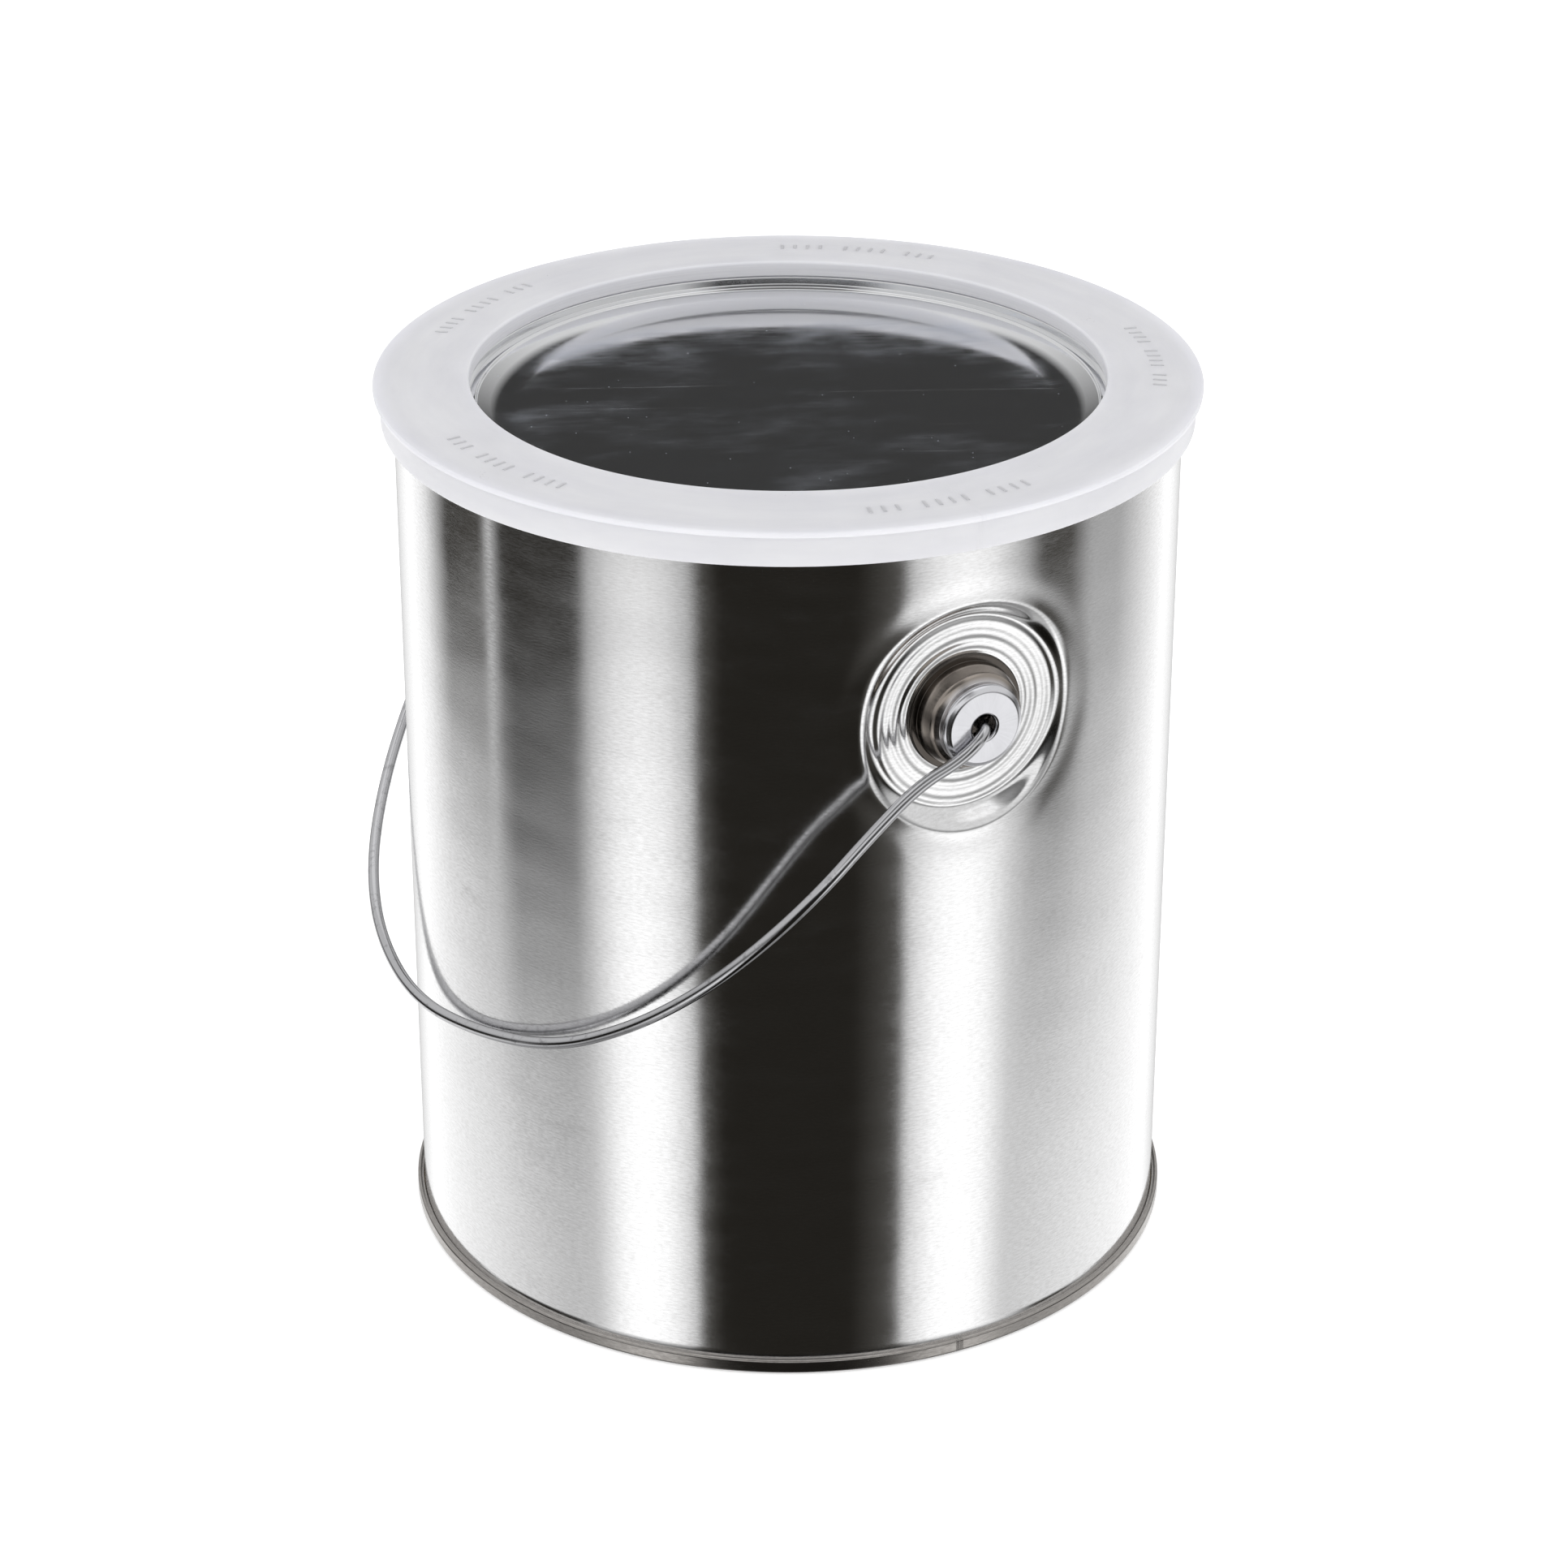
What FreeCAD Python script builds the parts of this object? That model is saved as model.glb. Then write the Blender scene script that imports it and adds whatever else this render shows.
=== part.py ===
"""One-gallon steel paint can with a friction lid, a plastic lock ring and a wire bail.

Millimetres, +Z up, origin at the centre of the circle the can stands on.
The ears lie on the X axis and the bail hangs on the -Y side.
"""
import FreeCAD, Part
import math
import os
import re

import Sketcher

Vector = FreeCAD.Vector

doc = FreeCAD.newDocument("paint_can")

# ---------------------------------------------------------------- driving sizes
SIZES = {
    # body blank and ends, all one gauge of tinplate
    "sheet": 0.3,
    "body_radius": 82.55,
    "can_height": 190.5,
    # double seams, the same at the top and at the bottom
    "seam_radius": 84.15,
    "seam_depth": 3.2,
    "seam_corner": 0.4,
    "chuck_radius": 81.93,
    "hook_length": 1.9,
    "hook_gap": 0.2,
    # bottom end
    "bottom_rise": 4.0,
    "bottom_bead_radius": 67.2,
    "bottom_bead_width": 5.4,
    "bottom_bead_rise": 0.7,
    # closing ring: the moat, the shelf and the plug channel
    "moat_floor": 186.0,
    "moat_inner": 79.9,
    "shelf_height": 189.8,
    "shelf_outer": 78.9,
    "channel_outer": 74.6,
    "channel_inner": 69.0,
    "channel_floor": 181.0,
    "mouth_radius": 67.6,
    "mouth_height": 189.5,
    # lid
    "plug_fit": 0.1,
    "plug_floor": 182.0,
    "lid_crown": 190.9,
    "lid_well": 67.0,
    "lid_bead": 187.6,
    "lid_panel": 186.6,
    "lid_panel_radius": 64.7,
    "lid_flange": 190.15,
    "lid_radius": 80.0,
    "lid_curl": 188.8,
    # lock ring
    "ring_hole": 66.6,
    "ring_top": 194.4,
    "ring_edge_top": 193.7,
    "ring_edge_radius": 86.7,
    "ring_skirt_radius": 85.25,
    "ring_bore": 84.45,
    "ring_foot": 186.0,
    "ring_lip_foot": 191.0,
    "ring_rib_radius": 76.4,
    "ring_rib_foot": 190.3,
    "ring_wall": 1.2,
    # ears and their pressed recesses; distances along the ear axis start at the can's axis
    "ear_height": 148.5,
    "recess_floor": 78.85,
    "recess_floor_radius": 19.5,
    "recess_mouth_radius": 24.2,
    "ear_sheet": 0.5,
    "ear_flange_radius": 12.4,
    "ear_flange_face": 79.4,
    "ear_dome_radius": 11.0,
    "ear_shoulder": 84.6,
    "ear_neck_radius": 8.9,
    "ear_face": 87.4,
    "ear_face_radius": 7.4,
    "ear_hole_radius": 2.6,
    # bail
    "wire_radius": 1.25,
    "bail_tilt": 45.0,
    "bail_reach": 88.95,
    "hook_reach": 83.0,
    "hook_rise": 5.2,
    # welded lap down the back of the body
    "lap_width": 4.0,
    "lap_rise": 0.15,
}

sheet = doc.addObject("Spreadsheet::Sheet", "Sizes")
for row, (alias, value) in enumerate(SIZES.items(), start=1):
    sheet.set("A%d" % row, alias)
    sheet.set("B%d" % row, str(value))
    sheet.setAlias("B%d" % row, alias)
doc.recompute()


def cells(formula):
    """Point every word of a formula at the sheet."""
    return re.sub(r"[a-z_]+", r"Sizes.\g<0>", str(formula))


def size(formula):
    """The number a formula over the sheet's cells comes to."""
    return float(sheet.evalExpression(cells(formula)))


# ---------------------------------------------------------------- makers
def origin_plane(body, role):
    for feature in body.Origin.OriginFeatures:
        if feature.Role == role:
            return feature
    raise ValueError(role)


def spun_body(name, outline, placement=FreeCAD.Placement()):
    """Turn a closed outline of (radius, height) formulas once round the body's Z axis."""
    body = doc.addObject("PartDesign::Body", name)
    body.Label = name
    sketch = body.newObject("Sketcher::SketchObject", name + "_outline")
    sketch.AttachmentSupport = [(origin_plane(body, "XZ_Plane"), "")]
    sketch.MapMode = "FlatFace"
    corners = [Vector(size(radius), size(height), 0) for radius, height in outline]
    for start, end in zip(corners, corners[1:] + corners[:1]):
        sketch.addGeometry(Part.LineSegment(start, end), False)
    for index, (radius, height) in enumerate(outline):
        following = (index + 1) % len(outline)
        sketch.addConstraint(Sketcher.Constraint("Coincident", index, 2, following, 1))
        if corners[index].x == 0:
            sketch.addConstraint(Sketcher.Constraint("PointOnObject", index, 1, -2))
        else:
            number = sketch.addConstraint(
                Sketcher.Constraint("DistanceX", -1, 1, index, 1, corners[index].x))
            sketch.setExpression("Constraints[%d]" % number, cells(radius))
        number = sketch.addConstraint(
            Sketcher.Constraint("DistanceY", -1, 1, index, 1, corners[index].y))
        sketch.setExpression("Constraints[%d]" % number, cells(height))
    turn = body.newObject("PartDesign::Revolution", name + "_turn")
    turn.Profile = sketch
    turn.ReferenceAxis = (sketch, ["V_Axis"])
    turn.Angle = 360
    body.Placement = placement
    return body


def along_x(side):
    """Placement that lays a local Z axis along +X or -X at the ears' height."""
    turned = FreeCAD.Rotation(Vector(0, 1, 0), 90 * side)
    return FreeCAD.Placement(Vector(0, 0, size("ear_height")), turned)


def primitive(kind, name, placement=FreeCAD.Placement(), **formulas):
    """A Part primitive whose sizes are formulas over the sheet."""
    solid = doc.addObject(kind, name)
    for key, formula in formulas.items():
        solid.setExpression(key, cells(formula))
    solid.Placement = placement
    return solid


# ---------------------------------------------------------------- body shell
# Rolled and lap-welded tinplate tube, flanged into both double seams.
low_flange = "sheet + 0.05"
high_flange = "can_height - sheet - 0.05"
body_hook = "seam_radius - sheet - 0.3"
body_blank = spun_body("body_blank", [
    ("body_radius - sheet", low_flange),
    (body_hook, low_flange),
    (body_hook, low_flange + " + hook_length + 0.15"),
    (body_hook + " - sheet", low_flange + " + hook_length + 0.15"),
    (body_hook + " - sheet", low_flange + " + sheet"),
    ("body_radius", low_flange + " + sheet"),
    ("body_radius", high_flange + " - sheet"),
    (body_hook + " - sheet", high_flange + " - sheet"),
    (body_hook + " - sheet", high_flange + " - hook_length - 0.15"),
    (body_hook, high_flange + " - hook_length - 0.15"),
    (body_hook, high_flange),
    ("body_radius - sheet", high_flange),
])

lap = primitive(
    "Part::Box", "side_lap",
    Length="lap_width", Width="2 * lap_rise",
    Height="can_height - 2 * seam_depth - 1")
lap.setExpression("Placement.Base.x", cells("-lap_width / 2"))
lap.setExpression("Placement.Base.y", cells("body_radius - lap_rise"))
lap.setExpression("Placement.Base.z", cells("seam_depth + 0.5"))

body_bar = primitive("Part::Cylinder", "body_bar", Radius="body_radius", Height="can_height")

RECESS_SLOPE = "(recess_mouth_radius - recess_floor_radius) / 4"
CONE_HEIGHT = "8"
pressed = []
open_blank = body_blank
for side, word in ((1, "right"), (-1, "left")):
    front = primitive(
        "Part::Cone", "recess_front_" + word,
        Radius1="recess_floor_radius", Height=CONE_HEIGHT,
        Radius2="recess_floor_radius + %s * %s" % (CONE_HEIGHT, RECESS_SLOPE))
    back = primitive(
        "Part::Cone", "recess_back_" + word,
        Radius1="recess_floor_radius + sheet", Height=CONE_HEIGHT + " + sheet",
        Radius2="recess_floor_radius + sheet + (%s + sheet) * %s" % (CONE_HEIGHT, RECESS_SLOPE))
    for cone, start in ((front, "recess_floor"), (back, "recess_floor - sheet")):
        cone.Placement = along_x(side)
        cone.setExpression("Placement.Base.x", cells("%d * (%s)" % (side, start)))
        cone.setExpression("Placement.Base.z", cells("ear_height"))
    dish = doc.addObject("Part::Cut", "recess_dish_" + word)
    dish.Base = back
    dish.Tool = front
    trimmed = doc.addObject("Part::Common", "recess_" + word)
    trimmed.Base = dish
    trimmed.Tool = body_bar
    pressed.append(trimmed)
    hole = doc.addObject("Part::Cut", "recess_hole_" + word)
    hole.Base = open_blank
    hole.Tool = back
    open_blank = hole

body_shell = doc.addObject("Part::MultiFuse", "body_shell")
body_shell.Label = "body_shell"
body_shell.Shapes = [open_blank, lap] + pressed

# ---------------------------------------------------------------- double seams
def seam_outline(base, up):
    """The end's side of a double seam, from its inner corner out, over and back to the chuck
    wall's outer face. base is the seam's closed edge and up is '+' or '-' towards the body."""
    def at(formula):
        return "%s %s (%s)" % (base, up, formula)
    hook_face = "body_radius + hook_gap"
    return [
        ("chuck_radius", at("0")),
        ("seam_radius - seam_corner", at("0")),
        ("seam_radius", at("seam_corner")),
        ("seam_radius", at("seam_depth - sheet")),
        ("seam_radius - sheet", at("seam_depth")),
        (hook_face, at("seam_depth")),
        (hook_face, at("seam_depth - hook_length")),
        (hook_face + " + sheet", at("seam_depth - hook_length")),
        (hook_face + " + sheet", at("seam_depth - sheet")),
        ("seam_radius - sheet", at("seam_depth - sheet")),
        ("seam_radius - sheet", at("sheet")),
        ("chuck_radius + sheet", at("sheet")),
    ]


# Bottom end: pressed tinplate, panel set up inside the seam, one stiffening bead.
bead_in = "bottom_bead_radius - bottom_bead_width / 2"
bead_out = "bottom_bead_radius + bottom_bead_width / 2"
bottom_end = spun_body("bottom_end", seam_outline("0", "+") + [
    ("chuck_radius + sheet", "bottom_rise - 0.1"),
    ("chuck_radius - 0.1", "bottom_rise + sheet"),
    (bead_out, "bottom_rise + sheet"),
    (bead_out + " - 1.5", "bottom_rise + bottom_bead_rise + sheet"),
    (bead_in + " + 1.5", "bottom_rise + bottom_bead_rise + sheet"),
    (bead_in, "bottom_rise + sheet"),
    ("0", "bottom_rise + sheet"),
    ("0", "bottom_rise"),
    (bead_in + " + 0.1", "bottom_rise"),
    (bead_in + " + 1.6", "bottom_rise + bottom_bead_rise"),
    (bead_out + " - 1.6", "bottom_rise + bottom_bead_rise"),
    (bead_out + " - 0.1", "bottom_rise"),
    ("chuck_radius - 0.3", "bottom_rise"),
    ("chuck_radius", "bottom_rise - 0.3"),
])

# Top ring: seamed to the body; a moat, the shelf the lid lands on, the plug channel, and the
# curled edge of the mouth.
top_ring = spun_body("top_ring", seam_outline("can_height", "-") + [
    ("chuck_radius + sheet", "moat_floor + sheet"),
    ("chuck_radius - 0.43", "moat_floor - sheet"),
    ("moat_inner - 0.1", "moat_floor - sheet"),
    ("moat_inner - 0.8", "moat_floor + sheet"),
    ("shelf_outer - sheet", "shelf_height - sheet"),
    ("channel_outer + sheet + 0.5", "shelf_height - sheet"),
    ("channel_outer + sheet", "shelf_height - sheet - 0.5"),
    ("channel_outer + sheet", "channel_floor + 0.2"),
    ("channel_outer - 0.2", "channel_floor - sheet"),
    ("channel_inner + 0.2", "channel_floor - sheet"),
    ("channel_inner - sheet", "channel_floor + 0.2"),
    ("channel_inner - sheet", "mouth_height - sheet"),
    ("mouth_radius + sheet", "mouth_height - sheet"),
    ("mouth_radius + sheet", "mouth_height - 1.5"),
    ("mouth_radius", "mouth_height - 1.5"),
    ("mouth_radius", "mouth_height"),
    ("channel_inner", "mouth_height"),
    ("channel_inner", "channel_floor + 0.3"),
    ("channel_inner + 0.3", "channel_floor"),
    ("channel_outer - 0.3", "channel_floor"),
    ("channel_outer", "channel_floor + 0.3"),
    ("channel_outer", "shelf_height - 0.5"),
    ("channel_outer + 0.5", "shelf_height"),
    ("shelf_outer", "shelf_height"),
    ("moat_inner - 0.5", "moat_floor + 0.5"),
    ("moat_inner", "moat_floor"),
    ("chuck_radius - 0.5", "moat_floor"),
    ("chuck_radius", "moat_floor + 0.5"),
])


# Sealing compound flowed into each seam, between the body's flange and the end's hook.
def compound_outline(base, up):
    def at(formula):
        return "%s %s (%s)" % (base, up, formula)
    inner = "body_radius + 0.02"
    outer = body_hook + " - sheet - 0.02"
    near = "2 * sheet + 0.07"
    far = "seam_depth - hook_length - 0.02"
    return [(inner, at(near)), (outer, at(near)), (outer, at(far)), (inner, at(far))]


bottom_compound = spun_body("bottom_seam_compound", compound_outline("0", "+"))
top_compound = spun_body("top_seam_compound", compound_outline("can_height", "-"))

# ---------------------------------------------------------------- lid
# Friction plug: sunk panel, bead, well wall, crown, the U that plugs the channel, landing flange
# and curl.
plug_in = "channel_inner + plug_fit"
plug_out = "channel_outer - plug_fit"
lid = spun_body("lid", [
    ("0", "lid_panel"),
    ("lid_panel_radius", "lid_panel"),
    ("lid_panel_radius + 0.5", "lid_bead"),
    ("lid_well - 0.4", "lid_bead + 0.1"),
    ("lid_well", "lid_bead + 0.6"),
    ("lid_well", "lid_crown - sheet"),
    ("lid_well + sheet", "lid_crown"),
    (plug_in, "lid_crown"),
    (plug_in + " + sheet", "lid_crown - sheet"),
    (plug_in + " + sheet", "plug_floor + 0.6"),
    (plug_in + " + 0.6", "plug_floor + sheet"),
    (plug_out + " - 0.6", "plug_floor + sheet"),
    (plug_out + " - sheet", "plug_floor + 0.6"),
    (plug_out + " - sheet", "lid_flange - 0.4"),
    (plug_out + " + 0.1", "lid_flange"),
    ("lid_radius - sheet", "lid_flange"),
    ("lid_radius", "lid_flange - sheet"),
    ("lid_radius", "lid_curl"),
    ("lid_radius - sheet", "lid_curl"),
    ("lid_radius - sheet", "lid_flange - sheet"),
    (plug_out + " + 0.3", "lid_flange - sheet"),
    (plug_out, "lid_flange - sheet - 0.3"),
    (plug_out, "plug_floor + 0.4"),
    (plug_out + " - 0.4", "plug_floor"),
    (plug_in + " + 0.4", "plug_floor"),
    (plug_in, "plug_floor + 0.4"),
    (plug_in, "lid_crown - sheet"),
    ("lid_well + sheet", "lid_crown - sheet"),
    ("lid_well + sheet", "lid_bead + 0.3"),
    ("lid_well - 0.3", "lid_bead - sheet + 0.1"),
    ("lid_panel_radius + 0.7", "lid_bead - sheet"),
    ("lid_panel_radius + 0.2", "lid_panel - sheet"),
    ("0", "lid_panel - sheet"),
])

# ---------------------------------------------------------------- lock ring
# Injection-moulded collar: inner lip on the lid's crown, a rib over its flange, a plate with a
# small brim, and a skirt round the top seam.
lock_ring = spun_body("lock_ring", [
    ("ring_hole", "ring_lip_foot"),
    ("ring_hole + 1", "ring_lip_foot"),
    ("ring_hole + 1", "ring_top - 1.4"),
    ("ring_rib_radius", "ring_top - 1.5"),
    ("ring_rib_radius", "ring_rib_foot"),
    ("ring_rib_radius + ring_wall", "ring_rib_foot"),
    ("ring_rib_radius + ring_wall", "ring_top - 1.5"),
    ("ring_bore", "ring_edge_top - 1.1"),
    ("ring_bore", "ring_foot + 0.3"),
    ("ring_bore + 0.2", "ring_foot"),
    ("ring_skirt_radius - 0.2", "ring_foot"),
    ("ring_skirt_radius", "ring_foot + 0.3"),
    ("ring_skirt_radius", "ring_edge_top - 1.4"),
    ("ring_edge_radius - 0.3", "ring_edge_top - ring_wall"),
    ("ring_edge_radius", "ring_edge_top - 0.9"),
    ("ring_edge_radius", "ring_edge_top - 0.3"),
    ("ring_edge_radius - 0.3", "ring_edge_top"),
    ("ring_hole + 0.4", "ring_top"),
    ("ring_hole", "ring_top - 0.4"),
])

# ---------------------------------------------------------------- ears
# Drawn steel cup welded in each recess: flange, domed wall, neck, flat face with a turned-in hole.
EAR_OUTLINE = [
    ("ear_flange_radius", "recess_floor"),
    ("ear_flange_radius", "ear_flange_face"),
    ("ear_dome_radius + 0.3", "ear_flange_face"),
    ("ear_dome_radius", "ear_flange_face + 0.3"),
    ("ear_dome_radius - 0.1", "ear_shoulder - 3.3"),
    ("ear_dome_radius - 0.7", "ear_shoulder - 1.5"),
    ("ear_dome_radius - 1.8", "ear_shoulder"),
    ("ear_neck_radius", "ear_shoulder + 0.3"),
    ("ear_neck_radius", "ear_face - 1.5"),
    ("ear_neck_radius - 0.4", "ear_face - 0.5"),
    ("ear_face_radius", "ear_face"),
    ("ear_hole_radius + 0.5", "ear_face"),
    ("ear_hole_radius", "ear_face - 0.5"),
    ("ear_hole_radius", "ear_face - 1.3"),
    ("ear_hole_radius + ear_sheet", "ear_face - 1.3"),
    ("ear_hole_radius + ear_sheet", "ear_face - ear_sheet - 0.2"),
    ("ear_face_radius - 0.2", "ear_face - ear_sheet - 0.1"),
    ("ear_neck_radius - ear_sheet", "ear_face - 1.6"),
    ("ear_neck_radius - ear_sheet", "ear_shoulder + 0.1"),
    ("ear_dome_radius - 2.2", "ear_shoulder - 0.4"),
    ("ear_dome_radius - 1.2", "ear_shoulder - 1.8"),
    ("ear_dome_radius - 0.6", "ear_shoulder - 3.4"),
    ("ear_dome_radius - ear_sheet", "recess_floor"),
]
ear_right = spun_body("ear_right", EAR_OUTLINE, along_x(1))
ear_left = spun_body("ear_left", EAR_OUTLINE, along_x(-1))

# ---------------------------------------------------------------- bail wire
# One bent wire. Each corner is (along the ear axis, away from it in the bail's own plane, bulge
# away from the can), and the wire rounds every corner with a tangent arc. The legs stand wide
# enough to pass over the lock ring.
BOW = [
    (88.8, 7.6, 0.4),
    (88.6, 17.0, 4.5),
    (88.7, 30.5, 6.0),
    (88.8, 46.5, 6.8),
    (82.7, 63.5, 5.2),
    (72.9, 78.4, 2.4),
    (59.8, 93.6, 0.6),
    (43.3, 107.2, 0.0),
    (19.5, 116.8, 0.0),
    (-6.0, 122.4, 0.0),
    (-32.0, 119.4, 0.0),
    (-53.5, 110.0, 0.0),
    (-70.7, 95.2, 0.2),
    (-82.8, 77.6, 1.2),
    (-88.3, 61.5, 3.4),
    (-88.8, 46.0, 4.8),
    (-88.7, 30.5, 4.8),
    (-88.6, 17.0, 3.8),
    (-88.8, 7.6, 0.4),
]
BEND = 2.6
BOW_SHARE = 0.45


def bail_corners():
    reach = size("bail_reach")
    hook = size("hook_reach")
    rise = size("hook_rise")
    right = [Vector(hook, -rise, 0), Vector(hook, 0, 0), Vector(reach, 0, 0)]
    left = [Vector(-corner.x, corner.y, 0) for corner in reversed(right)]
    bow = [Vector(across, drop, -bulge) for across, drop, bulge in BOW]
    return right + bow + left


def rounded_wire(corners, tight):
    """Straight runs joined by tangent arcs. Corners listed in tight get the radius BEND."""
    edges = []
    start = corners[0]
    for index in range(1, len(corners) - 1):
        back = corners[index - 1] - corners[index]
        ahead = corners[index + 1] - corners[index]
        half_turn = (math.pi - back.getAngle(ahead)) / 2
        setback = BOW_SHARE * min(back.Length, ahead.Length)
        if index in tight:
            setback = BEND * math.tan(half_turn)
        radius = setback / math.tan(half_turn)
        middle = (back.normalize() + ahead.normalize()).normalize()
        centre = corners[index] + middle * (radius / math.cos(half_turn))
        arc_start = corners[index] + back * setback
        arc_end = corners[index] + ahead * setback
        edges.append(Part.LineSegment(start, arc_start).toShape())
        edges.append(Part.Arc(arc_start, centre - middle * radius, arc_end).toShape())
        start = arc_end
    edges.append(Part.LineSegment(start, corners[-1]).toShape())
    return Part.Wire(edges)


corners = bail_corners()
last = len(corners) - 1
bail_path = doc.addObject("Part::Feature", "bail_path")
bail_path.Shape = rounded_wire(corners, (1, 2, last - 2, last - 1))

wire_section = doc.addObject("Part::Circle", "wire_section")
wire_section.setExpression("Radius", cells("wire_radius"))
wire_section.Placement = FreeCAD.Placement(corners[0], FreeCAD.Rotation(Vector(1, 0, 0), -90))

bail_wire = doc.addObject("Part::Sweep", "bail_wire")
bail_wire.Label = "bail_wire"
bail_wire.Sections = [wire_section]
bail_wire.Spine = (bail_path, ["Edge%d" % (i + 1) for i in range(len(bail_path.Shape.Edges))])
bail_wire.Solid = True
bail_wire.Frenet = False
# drawn with local Y away from the ear axis: hung straight down, then swung out by bail_tilt
bail_wire.Placement = FreeCAD.Placement(
    Vector(0, 0, size("ear_height")),
    FreeCAD.Rotation(Vector(1, 0, 0), -90 - size("bail_tilt")))

doc.recompute()

# ---------------------------------------------------------------- checks and files
pieces = [body_shell, bottom_end, top_ring, bottom_compound, top_compound, lid, lock_ring,
          ear_right, ear_left, bail_wire]

for item in doc.Objects:
    if "Invalid" in item.State or "Error" in item.State:
        raise RuntimeError("%s did not build: %s" % (item.Name, item.State))
for piece in pieces:
    if piece.Shape.isNull() or not piece.Shape.isValid():
        raise RuntimeError("%s has no valid shape" % piece.Label)

path_length = bail_path.Shape.Length
section_area = math.pi * size("wire_radius") ** 2
print("bail: length %.1f, volume %.1f of %.1f" % (
    path_length, bail_wire.Shape.Volume, path_length * section_area))

os.makedirs("parts", exist_ok=True)
for piece in pieces:
    shape = piece.Shape
    print("%-22s solids %d volume %9.1f" % (piece.Label, len(shape.Solids), shape.Volume))
    shape.exportStep("parts/%s.step" % piece.Label)
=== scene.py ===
"""A one-gallon paint can of bright tinplate: bottom, body, two ears, bail, top ring, lid and
plastic lock ring, in the order they are put together. Metres, +Z up, standing on the origin."""
import math

import bmesh
import bpy
import numpy as np
from mathutils import Matrix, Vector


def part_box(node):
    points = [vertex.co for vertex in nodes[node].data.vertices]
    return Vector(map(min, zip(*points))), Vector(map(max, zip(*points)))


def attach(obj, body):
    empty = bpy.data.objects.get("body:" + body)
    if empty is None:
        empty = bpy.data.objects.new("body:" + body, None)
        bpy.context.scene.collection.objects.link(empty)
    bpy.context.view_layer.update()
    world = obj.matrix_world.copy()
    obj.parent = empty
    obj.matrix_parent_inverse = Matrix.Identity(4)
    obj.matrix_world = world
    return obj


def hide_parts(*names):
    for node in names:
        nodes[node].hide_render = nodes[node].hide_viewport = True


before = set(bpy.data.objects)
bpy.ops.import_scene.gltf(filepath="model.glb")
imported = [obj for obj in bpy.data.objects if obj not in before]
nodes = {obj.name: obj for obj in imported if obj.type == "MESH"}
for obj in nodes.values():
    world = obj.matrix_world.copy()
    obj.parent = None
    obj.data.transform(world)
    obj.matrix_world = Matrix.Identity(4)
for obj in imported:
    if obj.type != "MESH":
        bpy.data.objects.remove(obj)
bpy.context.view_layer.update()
MM = 0.001

# ================================================================ bottom end
# A disc of tinplate pressed with a sunk panel and one stiffening bead. Its rim is folded with
# the body's flange into a double seam, and the can stands on that fold.
GAUGE = 0.30 * MM
BODY_RADIUS = 82.55 * MM
SEAM_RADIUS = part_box("bottom_end")[1].x
SEAM_DEPTH = 3.2 * MM
CAN_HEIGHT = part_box("top_ring")[1].z
CHUCK_RADIUS = 81.93 * MM
BEAD_RADIUS = 67.2
GRAIN_DEPTH = 0.0055 * MM
DENT_DEPTH = 0.22 * MM


def bent_line(corners, steps=6):
    """Points and left-hand normals along straight runs whose corners are bent to a radius.
    Each corner is (radius from the axis, height, bend radius)."""
    flat = [np.array(corner[:2], float) for corner in corners]
    points = [flat[0]]
    first = (flat[1] - flat[0]) / np.linalg.norm(flat[1] - flat[0])
    normals = [np.array((-first[1], first[0]))]
    for before, here, after, corner in zip(flat, flat[1:], flat[2:], corners[1:]):
        come = (here - before) / np.linalg.norm(here - before)
        leave = (after - here) / np.linalg.norm(after - here)
        turn = math.atan2(come[0] * leave[1] - come[1] * leave[0], float(come @ leave))
        setback = corner[2] * math.tan(abs(turn) / 2)
        left = np.array((-come[1], come[0]))
        centre = here - come * setback + left * math.copysign(corner[2], turn)
        for step in range(steps + 1):
            angle = turn * step / steps
            cos, sin = math.cos(angle), math.sin(angle)
            normal = np.array((left[0] * cos - left[1] * sin, left[0] * sin + left[1] * cos))
            points.append(centre - normal * math.copysign(corner[2], turn))
            normals.append(normal)
    last = (flat[-1] - flat[-2]) / np.linalg.norm(flat[-1] - flat[-2])
    points.append(flat[-1])
    normals.append(np.array((-last[1], last[0])))
    return points, normals


def sheet_outline(corners, gauge):
    """The closed outline of bent sheet: both faces of the line, joined by round edges."""
    points, normals = bent_line(corners)
    half = gauge / 2
    left = [(point + normal * half, normal) for point, normal in zip(points, normals)]
    right = [(point - normal * half, -normal) for point, normal in zip(points, normals)]
    outline = list(left)
    for end, normal, side in ((points[-1], normals[-1], 1), (points[0], normals[0], -1)):
        if end[0] > 0:
            along = np.array((normal[1], -normal[0])) * side
            for angle in np.linspace(0, math.pi, 6)[1:-1]:
                facing = normal * side * math.cos(angle) + along * math.sin(angle)
                outline.append((end + facing * half, facing))
        if side == 1:
            outline += right[::-1]
    return outline


def mesh_object(name, points, faces, normals, chart=None):
    mesh = bpy.data.meshes.new(name)
    mesh.from_pydata([tuple(point) for point in points], [], faces)
    mesh.polygons.foreach_set("use_smooth", [True] * len(mesh.polygons))
    if chart is not None:
        corner_vertex = np.zeros(len(mesh.loops), np.int32)
        mesh.loops.foreach_get("vertex_index", corner_vertex)
        layer = mesh.uv_layers.new(name="sheet")
        layer.data.foreach_set("uv", np.asarray(chart)[corner_vertex].astype(np.float32).ravel())
    if normals is not None:
        mesh.normals_split_custom_set_from_vertices([tuple(normal) for normal in normals])
    mesh.update()
    piece = bpy.data.objects.new(name, mesh)
    bpy.context.scene.collection.objects.link(piece)
    return piece


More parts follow.
